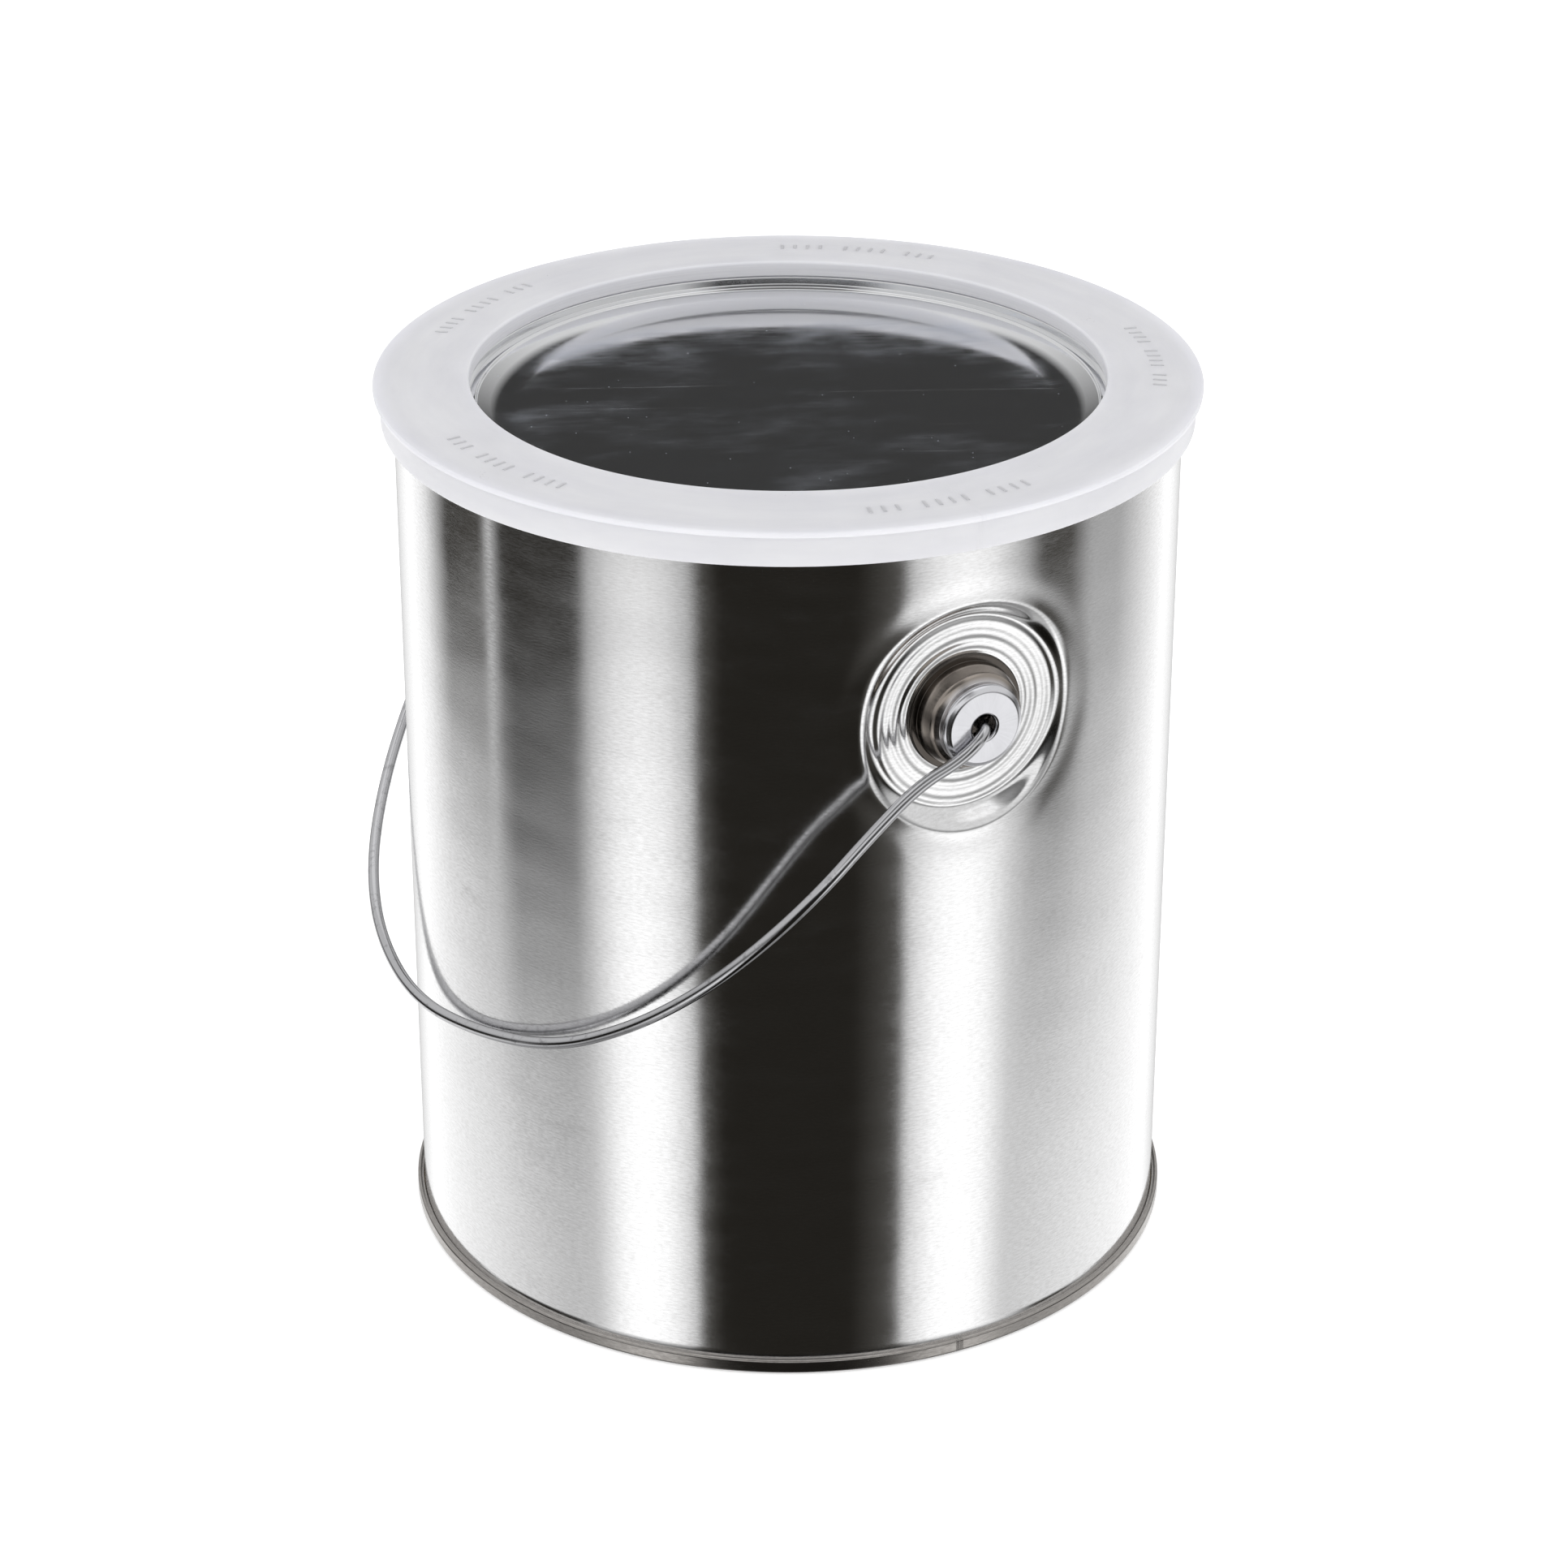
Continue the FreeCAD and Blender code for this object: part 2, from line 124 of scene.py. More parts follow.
def turned(name, outline, turns=288):
    """Sweep a closed outline of ((radius, height), normal) round +Z. Points on the axis are
    single vertices. The chart of the surface is (distance round, distance along)."""
    points, normals, chart, rings = [], [], [], []
    along = 0.0
    widest = max(float(point[0]) for point, normal in outline)
    previous = outline[0][0]
    for point, normal in outline:
        along += float(np.linalg.norm(point - previous))
        previous = point
        if point[0] < 1e-9:
            rings.append([len(points)] * turns)
            points.append((0.0, 0.0, point[1]))
            normals.append((0.0, 0.0, math.copysign(1.0, normal[1])))
            chart.append((0.0, along))
            continue
        rings.append(list(range(len(points), len(points) + turns)))
        for turn in range(turns):
            angle = 2 * math.pi * turn / turns
            cos, sin = math.cos(angle), math.sin(angle)
            points.append((point[0] * cos, point[0] * sin, point[1]))
            normals.append((normal[0] * cos, normal[0] * sin, normal[1]))
            chart.append((widest * angle, along))
    faces = []
    for ring, following in zip(rings, rings[1:] + rings[:1]):
        for turn in range(turns):
            other = (turn + 1) % turns
            corners = (ring[turn], following[turn], following[other], ring[other])
            face = list(dict.fromkeys(corners))
            if len(face) > 2:
                faces.append(face)
    return mesh_object(name, points, faces, normals, chart)


def pressed(name, corners, gauge, turns=288):
    outline = sheet_outline([tuple(np.array(corner) * MM) for corner in corners], gauge)
    return turned(name, outline, turns)


class Finish:
    """A node material: the shader, and short ways to add a node and join it on."""

    def __init__(self, name, **sockets):
        self.material = bpy.data.materials.new(name)
        self.material.use_nodes = True
        self.tree = self.material.node_tree
        self.shader = self.tree.nodes["Principled BSDF"]
        for socket, value in sockets.items():
            self.shader.inputs[socket.replace("_", " ")].default_value = value

    def add(self, kind, links=None, **settings):
        made = self.tree.nodes.new("ShaderNode" + kind)
        for key, value in settings.items():
            if hasattr(made, key):
                setattr(made, key, value)
            else:
                made.inputs[key.replace("_", " ")].default_value = value
        for socket, source in (links or {}).items():
            self.tree.links.new(source, made.inputs[socket])
        return made

    def chart(self, scale, turn=0.0):
        """Coordinates in metres over the sheet, stretched by scale."""
        where = self.add("UVMap", uv_map="sheet").outputs["UV"]
        return self.add("Mapping", {"Vector": where}, Scale=scale,
                        Rotation=(0, 0, turn)).outputs["Vector"]

    def place(self, scale, turn=0.0):
        """Coordinates in metres in the piece's own space, turned about Z and stretched."""
        where = self.add("TexCoord").outputs["Object"]
        turned_to = self.add("Mapping", {"Vector": where}, Rotation=(0, 0, turn))
        return self.add("Mapping", {"Vector": turned_to.outputs["Vector"]},
                        Scale=scale).outputs["Vector"]

    def noise(self, where, detail=3.0, rough=0.55):
        return self.add("TexNoise", {"Vector": where}, Scale=1.0, Detail=detail,
                        Roughness=rough).outputs["Fac"]

    def span(self, value, low, high, to_low, to_high):
        return self.add("MapRange", {"Value": value}, From_Min=low, From_Max=high, To_Min=to_low,
                        To_Max=to_high, clamp=True).outputs["Result"]

    def math(self, operation, first, second):
        made = self.add("Math", operation=operation)
        for socket, value in zip(made.inputs, (first, second)):
            if isinstance(value, (int, float)):
                socket.default_value = value
            else:
                self.tree.links.new(value, socket)
        return made.outputs[0]

    def tint(self, amount, first, second):
        made = self.add("Mix", data_type="RGBA")
        self.tree.links.new(amount, made.inputs[0])
        made.inputs[6].default_value = (*first, 1)
        made.inputs[7].default_value = (*second, 1)
        return made.outputs[2]

    def bump(self, height, depth, under=None):
        links = {"Height": height}
        if under is not None:
            links["Normal"] = under
        return self.add("Bump", links, Strength=1.0, Distance=depth).outputs["Normal"]

    def to(self, socket, source):
        self.tree.links.new(source, self.shader.inputs[socket])


def tinplate(name, rough=0.115, colour=(0.94, 0.94, 0.945), dull=(0.71, 0.705, 0.70)):
    """Bright tinplate as rolled: short grain round the can, a little mottling, handling marks."""
    finish = Finish(name, Metallic=1.0, Anisotropic=0.3, Anisotropic_Rotation=0.25)
    grain = finish.noise(finish.chart((620, 2500, 1)), 4.0, 0.65)
    mottle = finish.noise(finish.chart((70, 160, 1)), 4.0)
    marks = finish.noise(finish.chart((34, 90, 1), 0.35), 6.0, 0.7)
    worn = finish.span(marks, 0.60, 0.76, 0.0, 1.0)
    dents = finish.noise(finish.chart((16, 24, 1)), 2.0)
    base = finish.span(mottle, 0.3, 0.7, rough - 0.02, rough + 0.03)
    grained = finish.math("ADD", base, finish.span(grain, 0.3, 0.7, -0.04, 0.04))
    finish.to("Roughness", finish.math("ADD", grained, finish.math("MULTIPLY", worn, 0.09)))
    shade = finish.math("ADD", finish.span(grain, 0.36, 0.66, 0.0, 0.58),
                        finish.math("MULTIPLY", worn, 0.35))
    finish.to("Base Color", finish.tint(shade, colour, dull))
    uneven = finish.bump(dents, DENT_DEPTH)
    finish.to("Normal", finish.bump(grain, GRAIN_DEPTH, uneven))
    return finish.material


# The bottom end's tinplate is painted darker and browner than the rest of the can: painted shade for
# the dark band at the foot seam.
seam_plate_painted_shade = tinplate("seam tinplate painted shade", 0.22, (0.44, 0.42, 0.40), (0.28, 0.26, 0.245))
wall = CHUCK_RADIUS / MM + 0.15
rim = SEAM_RADIUS / MM - 0.15
bottom_end = pressed("bottom_end_plate", [
    (82.9, 1.4, 0), (82.9, 3.05, 0.4), (rim, 3.05, 0.5), (rim, 0.15, 0.6), (wall, 0.15, 0.5),
    (wall, 4.15, 0.6), (BEAD_RADIUS + 3.2, 4.15, 0.8), (BEAD_RADIUS + 1.6, 4.85, 0.8),
    (BEAD_RADIUS - 1.6, 4.85, 0.8), (BEAD_RADIUS - 3.2, 4.15, 0.8), (0, 4.15, 0)], GAUGE)
bottom_end.data.materials.append(seam_plate_painted_shade)
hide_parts("bottom_end")
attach(bottom_end, "can")

# ================================================================ body
# One blank of tinplate rolled into a tube and lap-welded down the back, with its edges flanged
# into both seams. Each side has a round recess pressed in, ringed by the ripples of the die.
EAR_HEIGHT = 148.5 * MM
RECESS_FLOOR = 78.85 * MM
WALL_START = 20.4 * MM
WALL_END = 25.0 * MM
HALO_RADIUS = 26.4 * MM
HALO_WIDTH = 3.0 * MM
HALO_DEPTH = 0.13 * MM
RECESS_REACH = 40 * MM
DIE_RIPPLES = [(13.4, 0.55, 0.15), (15.6, 0.8, 0.19), (17.4, 0.5, 0.10), (19.4, 0.9, 0.21),
               (23.6, 0.9, 0.20), (21.6, 1.4, -0.20)]
LAP_HALF = 2.0 * MM
LAP_RISE = 0.15 * MM
LAP_EDGES = np.radians((-1.7, -1.4, 1.4, 1.7))
LAP_END = SEAM_DEPTH + 0.5 * MM
FLANGE_LOW = 0.35 * MM
FLANGE_REACH = 1.0 * MM
HOOK = 2.05 * MM


def dense_steps(low, high, step, coarse, centres, spread):
    """Values from low to high that crowd together, by coarse / step times, near each centre."""
    fine = np.linspace(low, high, 20001)
    crowding = np.ones_like(fine) / coarse
    for centre in centres:
        crowding += (1 / step - 1 / coarse) / (1 + ((fine - centre) / spread) ** 6)
    total = np.concatenate(([0], np.cumsum((crowding[1:] + crowding[:-1]) / 2 * np.diff(fine))))
    count = int(round(total[-1]))
    return np.interp(np.linspace(0, total[-1], count + 1), total, fine)


def soft_step(value, low, high):
    share = np.clip((value - low) / (high - low), 0, 1)
    return share * share * (3 - 2 * share)


def ripple(radius, middle, width, height):
    return height * np.exp(-((radius - middle) / width) ** 2)


def recess_line(radius):
    """Distance of the pressed floor from the can's axis, by radius from the ear's middle. Each
    ripple of the die has a radius, a width and a height."""
    line = RECESS_FLOOR + 0 * radius
    for middle, width, height in DIE_RIPPLES:
        line += ripple(radius, middle * MM, width * MM, height * MM)
    return line


def press_recess(points, skin):
    """Move the tube's points in or out along the ear's axis to lie on the pressed recess."""
    side = np.sign(points[:, 0])
    across, up = points[:, 1], points[:, 2] - EAR_HEIGHT
    radius = np.hypot(across, up)
    tube = np.abs(points[:, 0])
    wall_share = soft_step(radius, WALL_START, WALL_END)
    drawn = tube * wall_share + (recess_line(radius) + skin) * (1 - wall_share)
    drawn -= ripple(radius, HALO_RADIUS, HALO_WIDTH, HALO_DEPTH)
    points[:, 0] = np.where(radius < RECESS_REACH, side * drawn, points[:, 0])
    return points


turn_steps = dense_steps(-0.75 * math.pi, 1.25 * math.pi, math.radians(0.22), math.radians(1.2),
                         (0, math.pi), math.radians(19.5))[:-1]
turn_steps = np.sort(np.concatenate((turn_steps, math.pi / 2 + LAP_EDGES)))
height_steps = dense_steps(FLANGE_LOW + GAUGE, CAN_HEIGHT - FLANGE_LOW - GAUGE, 0.3 * MM, 4 * MM,
                           (EAR_HEIGHT,), 27 * MM)
outer = [(BODY_RADIUS, height) for height in height_steps]
inner = [(BODY_RADIUS - GAUGE, height) for height in height_steps[::-1]]
hook_radius = BODY_RADIUS + FLANGE_REACH
top_edge = CAN_HEIGHT - FLANGE_LOW
top_hook = [(hook_radius - GAUGE, top_edge - GAUGE), (hook_radius - GAUGE, top_edge - HOOK),
            (hook_radius, top_edge - HOOK), (hook_radius, top_edge),
            (BODY_RADIUS - GAUGE, top_edge)]
bottom_hook = [(radius, CAN_HEIGHT - height) for radius, height in top_hook[::-1]]
body_outline = outer + top_hook + inner + bottom_hook
cos_steps, sin_steps = np.cos(turn_steps), np.sin(turn_steps)
body_points, body_chart, run = [], [], 0.0
for (radius, height), before in zip(body_outline, body_outline[-1:] + body_outline[:-1]):
    run = height if radius == BODY_RADIUS else run + math.dist((radius, height), before)
    skin = radius - BODY_RADIUS
    lap = LAP_RISE * (np.abs(BODY_RADIUS * (turn_steps - math.pi / 2)) < LAP_HALF)
    lap = lap * (LAP_END < height < CAN_HEIGHT - LAP_END)
    reach = radius + lap
    row = np.stack((reach * cos_steps, reach * sin_steps, np.full_like(turn_steps, height)), -1)
    if radius <= BODY_RADIUS:
        row = press_recess(row, skin)
    body_points.append(row)
    body_chart.append(np.stack((BODY_RADIUS * turn_steps, np.full_like(turn_steps, run)), -1))
columns = len(turn_steps)
rows = len(body_outline)
body_faces = [(r * columns + c, r * columns + (c + 1) % columns,
               (r + 1) % rows * columns + (c + 1) % columns, (r + 1) % rows * columns + c)
              for r in range(rows) for c in range(columns)]
body = mesh_object("body_tube", np.concatenate(body_points), body_faces, None,
                   np.concatenate(body_chart))
body.data.materials.append(tinplate("body tinplate"))
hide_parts("body_shell")
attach(body, "can")

# ================================================================ ears
# A cup drawn from heavier steel and welded by its flange in each recess. Its wall is domed, then
# necks in to a flat face, and the hole for the bail is turned in so it doesn't cut the wire.
EAR_GAUGE = 0.5 * MM
# Out from the axis, where the darkening of the cup towards its flange fades out.
FLANGE_DARK_LEVEL = (79.4 * MM, 79.7 * MM)
# Out from the axis, where the painted dark reflection on the dome gives way to the pale face.
FACE_LEVEL = (84.2 * MM, 85.3 * MM)


def ear_steel():
    """Drawn steel: pale and bright on the pressed face. The domed wall is painted dark brown, a painted
    reflection of dark surroundings, and the cup is darker towards its flange.
    """
    finish = Finish("ear steel", Metallic=1.0)
    streaks = finish.noise(finish.chart((1500, 90, 1)), 3.0)
    blush = finish.noise(finish.place((160, 160, 160)), 3.0)
    where = finish.add("TexCoord").outputs["Object"]
    out = finish.add("SeparateXYZ", {"Vector": where}).outputs["X"]
    reach = finish.math("ABSOLUTE", out, 0.0)
    dome_shade_to_face = finish.span(reach, *FACE_LEVEL, 0.0, 1.0)
    # The cup's colour is darkened towards its flange, to 0.3 of itself at the flange.
    flange_darkening = finish.span(reach, *FLANGE_DARK_LEVEL, 0.3, 1.0)
    # The dome's dark brown is a painted reflection of dark surroundings; the face keeps the steel's
    # pale colour.
    colour = finish.tint(dome_shade_to_face, (0.36, 0.32, 0.285), (0.78, 0.78, 0.81))
    finish.to("Base Color", finish.add("VectorMath", {0: colour, 1: flange_darkening},
                                       operation="MULTIPLY").outputs[0])
    finish.to("Roughness", finish.math("ADD", finish.span(streaks, 0.3, 0.7, -0.03, 0.04),
                                       finish.span(blush, 0.3, 0.7, 0.17, 0.24)))
    finish.to("Normal", finish.bump(streaks, 0.000003))
    return finish.material


ear_finish = ear_steel()
for side, word in ((1, "right"), (-1, "left")):
    ear = pressed("ear_cup_" + word, [
        (12.2, 79.12, 0), (10.8, 79.12, 0.4), (10.72, 81.2, 2.0), (9.9, 83.7, 1.7),
        (8.45, 84.75, 0.6), (8.6, 86.4, 0.9), (7.6, 87.15, 0.7), (2.9, 87.15, 0.45),
        (2.86, 86.1, 0)], EAR_GAUGE, 128)
    ear.data.transform(Matrix.Rotation(side * math.pi / 2, 4, "Y"))
    ear.data.transform(Matrix.Translation((0, 0, EAR_HEIGHT)))
    ear.data.materials.append(ear_finish)
    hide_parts("ear_" + word)
    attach(ear, "can")

# ================================================================ bail
# One length of bright plated wire, bent by hand into an uneven bow. Each end turns into its ear
# and down in a short hook, so the bow swings but can't pull out.
WIRE_RADIUS = 1.25 * MM
BAIL_TILT = math.radians(45)
BAIL_REACH = 88.95
HOOK_REACH = 83.0
HOOK_RISE = 5.2
BOW = [
    (88.8, 7.6, 0.4), (88.6, 17.0, 4.5), (88.7, 30.5, 6.0), (88.8, 46.5, 6.8), (82.7, 63.5, 5.2),
    (72.9, 78.4, 2.4), (59.8, 93.6, 0.6), (43.3, 107.2, 0.0), (19.5, 116.8, 0.0),
    (-6.0, 122.4, 0.0), (-32.0, 119.4, 0.0), (-53.5, 110.0, 0.0), (-70.7, 95.2, 0.2),
    (-82.8, 77.6, 1.2), (-88.3, 61.5, 3.4), (-88.8, 46.0, 4.8), (-88.7, 30.5, 4.8),
    (-88.6, 17.0, 3.8), (-88.8, 7.6, 0.4)]


def smooth_line(corners, steps=12):
    """A quadratic spline that touches the middle of every run between the corners."""
    corners = [np.array(corner, float) for corner in corners]
    middles = [corners[0]]
    middles += [(a + b) / 2 for a, b in zip(corners[1:-2], corners[2:-1])]
    middles += [corners[-1]]
    line = [middles[0]]
    for start, corner, end in zip(middles, corners[1:-1], middles[1:]):
        for step in range(1, steps + 1):
            t = step / steps
            line.append((1 - t) ** 2 * start + 2 * t * (1 - t) * corner + t * t * end)
    return np.array(line)


def wire(name, line, radius, sides=24):
    """A round tube carried along the line without twisting, with its cut ends rounded over."""
    along = np.gradient(line, axis=0)
    along /= np.linalg.norm(along, axis=1)[:, None]
    across = np.cross(along[0], (0.3, 0.9, 0.2))
    points, normals, chart = [], [], []
    travelled = 0.0
    rings = 0
    for index, (point, ahead) in enumerate(zip(line, along)):
        if index:
            travelled += float(np.linalg.norm(point - line[index - 1]))
        across = across - ahead * (across @ ahead)
        across /= np.linalg.norm(across)
        up = np.cross(ahead, across)
        sections = [(0.0, radius)]
        if index == 0:
            sections = [(-0.35 * radius, 0.65 * radius), (-0.15 * radius, 0.92 * radius), (0.0, radius)]
        if index == len(line) - 1:
            sections = [(0.0, radius), (0.15 * radius, 0.92 * radius), (0.35 * radius, 0.65 * radius)]
        for shift, reach in sections:
            for side in range(sides):
                angle = 2 * math.pi * side / sides
                facing = across * math.cos(angle) + up * math.sin(angle)
                points.append(point + ahead * shift + facing * reach)
                normals.append(facing)
                chart.append((travelled + shift, radius * angle))
            rings += 1
    faces = [(r * sides + s, r * sides + (s + 1) % sides,
              (r + 1) * sides + (s + 1) % sides, (r + 1) * sides + s)
             for r in range(rings - 1) for s in range(sides)]
    faces.append(list(range(sides))[::-1])
    faces.append(list(range((rings - 1) * sides, rings * sides)))
    return mesh_object(name, points, faces, None, chart)


def bail_steel():
    """Bright plated wire with die lines along it and small dull spots."""
    finish = Finish("bail wire", Metallic=1.0)
    lines = finish.noise(finish.chart((60, 5200, 1)), 2.0)
    spots = finish.noise(finish.place((420, 420, 420)), 4.0, 0.65)
    dull = finish.span(spots, 0.55, 0.72, 0.0, 1.0)
    finish.to("Base Color", finish.tint(dull, (0.58, 0.58, 0.595), (0.38, 0.38, 0.39)))
    finish.to("Roughness", finish.math("ADD", finish.span(lines, 0.3, 0.7, 0.10, 0.17),
                                       finish.math("MULTIPLY", dull, 0.14)))
    finish.to("Normal", finish.bump(lines, 0.000004))
    return finish.material


ends = [(HOOK_REACH, -HOOK_RISE, 0), (HOOK_REACH, 0, 0), (BAIL_REACH, 0, 0)]
other_ends = [(-across, drop, bulge) for across, drop, bulge in ends[::-1]]
flat_line = smooth_line(ends + BOW + other_ends) * MM
tilt_sin, tilt_cos = math.sin(BAIL_TILT), math.cos(BAIL_TILT)
bail_line = np.stack((
    flat_line[:, 0],
    -(flat_line[:, 1] * tilt_sin + flat_line[:, 2] * tilt_cos),
    EAR_HEIGHT - flat_line[:, 1] * tilt_cos + flat_line[:, 2] * tilt_sin), -1)
bail = wire("bail", bail_line, WIRE_RADIUS)
bail.data.materials.append(bail_steel())
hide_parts("bail_wire")
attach(bail, "bail")

# ================================================================ top ring
# A pressed ring seamed to the body: the moat, the shelf that the lid lands on, the channel that
# takes the lid's plug, and a mouth with its edge curled down.
top = CAN_HEIGHT / MM
top_ring = pressed("top_ring_plate", [
    (82.9, top - 1.4, 0), (82.9, top - 3.05, 0.4), (rim, top - 3.05, 0.5), (rim, top - 0.15, 0.6),
    (wall, top - 0.15, 0.5), (wall - 0.05, 185.85, 0.6), (79.65, 185.85, 0.6),
    (78.85, 189.65, 0.5), (74.75, 189.65, 0.5), (74.75, 180.85, 0.7), (68.85, 180.85, 0.7),
    (68.85, 189.35, 0.5), (67.75, 189.35, 0.4), (67.75, 188.1, 0)], GAUGE)
top_ring.data.materials.append(tinplate("top ring tinplate"))
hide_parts("top_ring")
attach(top_ring, "can")

# ================================================================ seam compound
# A thread of sealing compound flowed into each double seam before it is closed. It is squeezed
# between the body's flange and the end's hook, out of sight.


def compound():
    finish = Finish("seam compound", Specular_IOR_Level=0.3)
    grain = finish.noise(finish.place((900, 900, 900)), 3.0)
    finish.to("Base Color", finish.tint(grain, (0.72, 0.60, 0.42), (0.60, 0.48, 0.32)))
    finish.to("Roughness", finish.span(grain, 0.3, 0.7, 0.55, 0.75))
    finish.to("Normal", finish.bump(grain, 0.00002))
    return finish.material


compound_finish = compound()
for name in ("bottom_seam_compound", "top_seam_compound"):
    nodes[name].data.materials.clear()
    nodes[name].data.materials.append(compound_finish)

# ================================================================ lid
# A friction plug pressed from one disc: a sunk bright panel that curves up to the well's wall, a
# crown, the U that jams in the ring's channel, and a curled flange that lands on the shelf.
SCRATCH_TURN = math.radians(-66)
HANDLED = (58 * MM, 62 * MM)


def lid_plate():
    """Smooth plate with a few long scratches one way, hazy finger marks and specks of dust."""
    finish = Finish("lid plate", Metallic=1.0)
    where = finish.add("TexCoord").outputs["Object"]
    flat = finish.add("VectorMath", {0: where}, operation="MULTIPLY")
    flat.inputs[1].default_value = (1, 1, 0)
    radius = finish.add("VectorMath", {0: flat.outputs[0]}, operation="LENGTH").outputs["Value"]
    on_panel = finish.span(radius, *HANDLED, 1.0, 0.0)
    grain = finish.noise(finish.place((90, 1800, 90), SCRATCH_TURN), 3.0, 0.6)
    haze = finish.noise(finish.place((24, 44, 24), SCRATCH_TURN - 0.2), 4.0, 0.62)
    hazed = finish.math("MULTIPLY", finish.span(haze, 0.47, 0.68, 0.0, 1.0), on_panel)
    scratch = finish.noise(finish.place((11, 700, 11), SCRATCH_TURN), 1.0)
    scratched = finish.math("MULTIPLY", finish.span(scratch, 0.72, 0.75, 0.0, 1.0), on_panel)
    speck = finish.add("TexVoronoi", {"Vector": finish.place((260, 260, 260))}, Scale=1.0)
    dusty = finish.span(speck.outputs["Distance"], 0.028, 0.05, 1.0, 0.0)
    rough = finish.math("ADD", finish.span(grain, 0.3, 0.7, 0.06, 0.11),
                        finish.math("MULTIPLY", hazed, 0.15))
    rough = finish.math("ADD", rough, finish.math("MULTIPLY", scratched, 0.10))
    finish.to("Roughness", finish.math("ADD", rough, finish.math("MULTIPLY", dusty, 0.3)))
    marks = finish.math("ADD", finish.math("MULTIPLY", hazed, 0.6), dusty)
    finish.to("Base Color", finish.tint(marks, (0.86, 0.865, 0.875), (0.74, 0.79, 0.90)))
    finish.to("Normal", finish.bump(grain, 0.000003))
    return finish.material


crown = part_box("lid")[1].z / MM - 0.15
lid = pressed("lid_plug", [
    (0, 186.45, 0), (59.5, 186.45, 20), (65.2, 188.25, 0.5), (65.5, 188.75, 0.25),
    (66.95, 188.9, 0.35), (67.15, crown, 0.5), (69.25, crown, 0.5), (69.25, 182.15, 0.8),
    (74.35, 182.15, 0.8), (74.35, 190.0, 0.5), (79.85, 190.0, 0.5), (79.85, 188.95, 0)], GAUGE)
lid.data.materials.append(lid_plate())
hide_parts("lid")
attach(lid, "lid")

# ================================================================ lock ring
# A collar moulded in natural polyethylene. A lip and a rib bear on the lid, the brim covers it,
# and the skirt fits round the top seam. Plain raised dashes stand round the brim.
RING_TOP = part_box("lock_ring")[1].z / MM
BRIM_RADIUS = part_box("lock_ring")[1].x / MM
SKIRT_RADIUS = 85.25
SKIRT_BORE = 84.45
RING_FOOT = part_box("lock_ring")[0].z / MM
RING_HOLE = 66.6
EDGE_TOP = RING_TOP - 0.7
DASH_ARCS = 5
DASHES_IN_ARC = 14
DASH_SPACING = 2.1
DASH_RADIUS = 77.5
DASH_LENGTH = 2.9
DASH_WIDTH = 0.8
DASH_RISE = 0.10
DASH_FOOT = -0.15
DASH_DRAFT = 0.12
DASH_GAP = 5


def closed_outline(corners, steps=5):
    """A closed outline with every corner rounded; the piece lies right of the way round."""
    looped = [corners[-1]] + corners + [corners[0]]
    points, normals = bent_line([tuple(np.array(corner) * MM) for corner in looped], steps)
    return list(zip(points, normals))[1:-1]


def ring_plastic():
    """Natural polyethylene: milky, faintly cool, with slow swirls of flow and a fine texture."""
    finish = Finish("lock ring plastic", Subsurface_Weight=0.35, Subsurface_Scale=0.004,
                    Specular_IOR_Level=0.45)
    finish.shader.inputs["Subsurface Radius"].default_value = (1.0, 1.0, 1.1)
    swirl = finish.noise(finish.chart((26, 120, 1)), 4.0, 0.6)
    pores = finish.noise(finish.place((1500, 1500, 1500)), 2.0)
    rubbed = finish.noise(finish.place((60, 60, 60)), 5.0, 0.7)
    finish.to("Base Color", finish.tint(finish.span(swirl, 0.3, 0.7, 0, 1),
                                        (0.69, 0.69, 0.735), (0.765, 0.765, 0.80)))
    finish.to("Roughness", finish.math("ADD", finish.span(rubbed, 0.3, 0.7, 0.30, 0.42),
                                       finish.span(pores, 0.3, 0.7, -0.04, 0.04)))
    relief = finish.bump(swirl, 0.00006)
    finish.to("Normal", finish.bump(pores, 0.000008, relief))
    return finish.material


def raise_dashes(piece):
    """Add the moulded dashes: flat-topped bars that stand on the brim in arcs, in small groups."""
    shape = bmesh.new()
    shape.from_mesh(piece.data)
    slope = (RING_TOP - EDGE_TOP) / (BRIM_RADIUS - RING_HOLE)
    for arc in range(DASH_ARCS):
        for place in range(DASHES_IN_ARC):
            if place % DASH_GAP == DASH_GAP - 2:
                continue
            angle = math.radians(arc * 360 / DASH_ARCS + (place - DASHES_IN_ARC / 2) * DASH_SPACING)
            corners = []
            for lift, inset in ((DASH_FOOT, 0.0), (DASH_RISE, DASH_DRAFT)):
                for along, across in ((-1, -1), (1, -1), (1, 1), (-1, 1)):
                    radius = DASH_RADIUS + along * (DASH_LENGTH / 2 - inset)
                    sideways = across * (DASH_WIDTH / 2 - inset)
                    top = RING_TOP - slope * (radius - RING_HOLE) + lift
                    corners.append(shape.verts.new((
                        (radius * math.cos(angle) - sideways * math.sin(angle)) * MM,
                        (radius * math.sin(angle) + sideways * math.cos(angle)) * MM, top * MM)))
            shape.faces.new(corners[4:])
            shape.faces.new(corners[3::-1])
            for side in range(4):
                other = (side + 1) % 4
                shape.faces.new((corners[side], corners[other], corners[other + 4], corners[side + 4]))
    shape.to_mesh(piece.data)
    shape.free()


